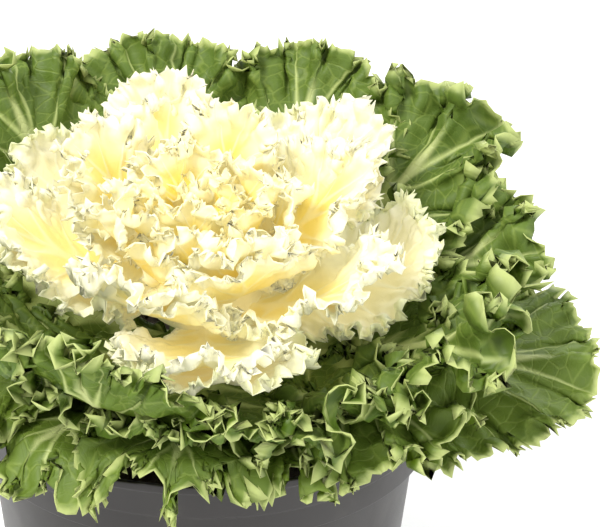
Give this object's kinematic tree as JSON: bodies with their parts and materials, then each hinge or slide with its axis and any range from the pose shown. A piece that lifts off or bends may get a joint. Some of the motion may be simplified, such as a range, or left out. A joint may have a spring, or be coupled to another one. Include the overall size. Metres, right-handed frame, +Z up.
{
  "type": "potted ornamental kale",
  "caption": "Ornamental kale with a creamy frilled heart and curly green outer leaves, growing in a round tapered plastic pot.",
  "frame": {"origin": "middle of the pot's flat underside", "axes": "+Z up along the pot's axis, -Y towards the side that the plant leans to"},
  "size_m": [0.2532, 0.2213, 0.231],
  "materials": {
    "pot_plastic": "satin charcoal nursery pot plastic",
    "soil": "crumbly dark peat with bark bits",
    "green_leaf": "satin green leaf with pale fan veins and a pale edge",
    "cream_leaf": "satin cream leaf, golden towards its foot"
  },
  "bodies": {
    "root": {"pot": "pot_plastic", "potting_soil": "soil", "green_foliage": "green_leaf", "cream_heart": "cream_leaf"}
  },
  "joints": []
}
